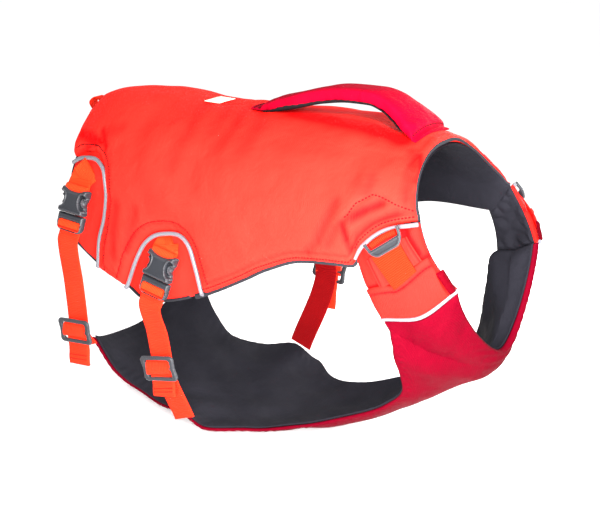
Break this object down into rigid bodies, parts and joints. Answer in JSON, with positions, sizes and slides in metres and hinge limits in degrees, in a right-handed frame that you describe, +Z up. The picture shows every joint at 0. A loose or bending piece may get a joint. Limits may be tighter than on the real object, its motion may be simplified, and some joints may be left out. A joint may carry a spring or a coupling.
{
  "type": "dog life jacket",
  "caption": "Padded dog flotation jacket with a grab handle on top, an orange back, a crimson chest and belly panel, side-release buckle straps and pale reflective piping.",
  "frame": {"origin": "inner face of the back lining, on the middle line, near mid-length, where the wearer's back holds the jacket", "axes": "+X toward the neck opening, +Y toward the wearer's left, +Z up"},
  "size_m": [0.4627, 0.2405, 0.3286],
  "materials": {
    "orange_cloth": "matte",
    "crimson_cloth": "matte",
    "charcoal_lining": "matte",
    "orange_webbing": "matte",
    "reflective_piping": "satin",
    "grey_plastic": "satin",
    "slider_plastic": "satin",
    "label_cloth": "matte"
  },
  "bodies": {
    "root": {"adjuster_loop_l": "orange_webbing", "adjuster_loop_r": "orange_webbing", "adjuster_patch_l": "orange_webbing", "adjuster_patch_r": "orange_webbing", "adjuster_ring_l": "grey_plastic", "adjuster_ring_r": "grey_plastic", "adjuster_tab_l": "orange_cloth", "adjuster_tab_r": "orange_cloth", "back_lining": "charcoal_lining", "back_panel": "orange_cloth", "buckle_female_front_l": "grey_plastic", "buckle_female_front_r": "grey_plastic", "buckle_female_rear_l": "grey_plastic", "buckle_female_rear_r": "grey_plastic", "buckle_male_front_l": "grey_plastic", "buckle_male_front_r": "grey_plastic", "buckle_male_rear_l": "grey_plastic", "buckle_male_rear_r": "grey_plastic", "chest_belly_lining": "charcoal_lining", "chest_belly_panel": "crimson_cloth", "chest_piping_l": "reflective_piping", "chest_piping_r": "reflective_piping", "edge_binding_l": "charcoal_lining", "edge_binding_r": "charcoal_lining", "front_facing_l": "orange_cloth", "front_facing_r": "orange_cloth", "front_piping_l": "reflective_piping", "front_piping_r": "reflective_piping", "handle": "crimson_cloth", "handle_underside": "charcoal_lining", "label": "label_cloth", "rear_facing_l": "orange_cloth", "rear_facing_r": "orange_cloth", "rear_loop": "orange_webbing", "rear_piping_l": "reflective_piping", "rear_piping_r": "reflective_piping", "shoulder_lining_l": "charcoal_lining", "shoulder_lining_r": "charcoal_lining", "shoulder_piping_l": "reflective_piping", "shoulder_piping_r": "reflective_piping", "shoulder_strap_l": "orange_cloth", "shoulder_strap_r": "orange_cloth", "slider_front_l": "slider_plastic", "slider_front_r": "slider_plastic", "slider_rear_l": "slider_plastic", "slider_rear_r": "slider_plastic", "webbing_lower_front_l": "orange_webbing", "webbing_lower_front_r": "orange_webbing", "webbing_lower_rear_l": "orange_webbing", "webbing_lower_rear_r": "orange_webbing", "webbing_tail_front_l": "orange_webbing", "webbing_tail_front_r": "orange_webbing", "webbing_tail_rear_l": "orange_webbing", "webbing_tail_rear_r": "orange_webbing", "webbing_upper_front_l": "orange_webbing", "webbing_upper_front_r": "orange_webbing", "webbing_upper_rear_l": "orange_webbing", "webbing_upper_rear_r": "orange_webbing"}
  },
  "joints": []
}
